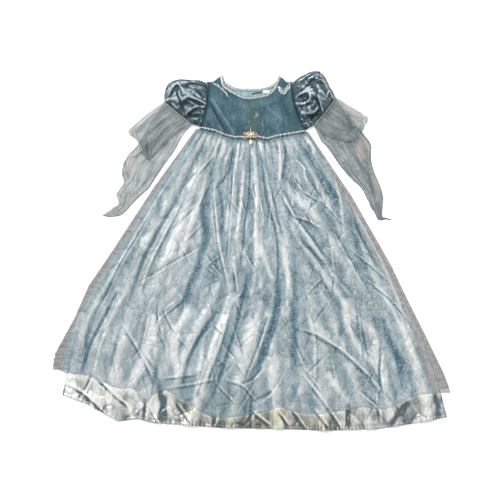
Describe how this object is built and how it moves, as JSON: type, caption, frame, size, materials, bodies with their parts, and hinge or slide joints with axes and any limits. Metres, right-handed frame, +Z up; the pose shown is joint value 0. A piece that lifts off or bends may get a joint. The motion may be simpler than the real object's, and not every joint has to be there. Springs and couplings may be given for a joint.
{
  "type": "child's princess costume dress, laid flat",
  "caption": "Child's long princess costume dress laid flat: velvet bodice, hollow puff sleeves with pointed drapes, gathered sheer overskirt over a satin underskirt.",
  "frame": {"origin": "middle of the dress's outline on the surface it lies on", "axes": "+X across the dress to the right as seen from above with the hem nearest, +Y from hem to neck, +Z up from the surface"},
  "size_m": [0.923, 0.9174, 0.0484],
  "materials": {
    "velvet": "napped velvet, dark teal",
    "panne": "shiny crushed panne, dark teal grey",
    "satin": "silvery satin",
    "pale_satin": "pale blue satin",
    "skirt_organza": "sheer glitter organza, icy blue",
    "drape_organza": "sheer organza, grey green",
    "dark_tape": "woven tape, dark",
    "silver_braid": "metallic beaded braid",
    "rose_gold": "polished rose gold",
    "pale_gem": "glossy cream and clear gem"
  },
  "bodies": {
    "root": {"overskirt_back": "skirt_organza", "underskirt_back": "satin", "underskirt_front": "satin", "overskirt_front": "skirt_organza", "bodice_back": "velvet", "bodice_front": "velvet", "neck_binding_back": "pale_satin", "neck_facing": "pale_satin", "neck_binding_front": "pale_satin", "neck_label": "satin", "back_neck_tape": "dark_tape", "shoulder_ribbon_left": "pale_satin", "shoulder_ribbon_right": "pale_satin", "puff_sleeve_left": "panne", "puff_sleeve_right": "panne", "sleeve_drape_left_lower": "drape_organza", "sleeve_drape_left_upper": "drape_organza", "sleeve_drape_right_lower": "drape_organza", "sleeve_drape_right_upper": "drape_organza", "cuff_piping_left": "pale_satin", "cuff_piping_right": "pale_satin", "waist_braid": "silver_braid", "brooch_star": "rose_gold", "brooch_gem": "pale_gem", "brooch_drop": "pale_gem"}
  },
  "joints": []
}
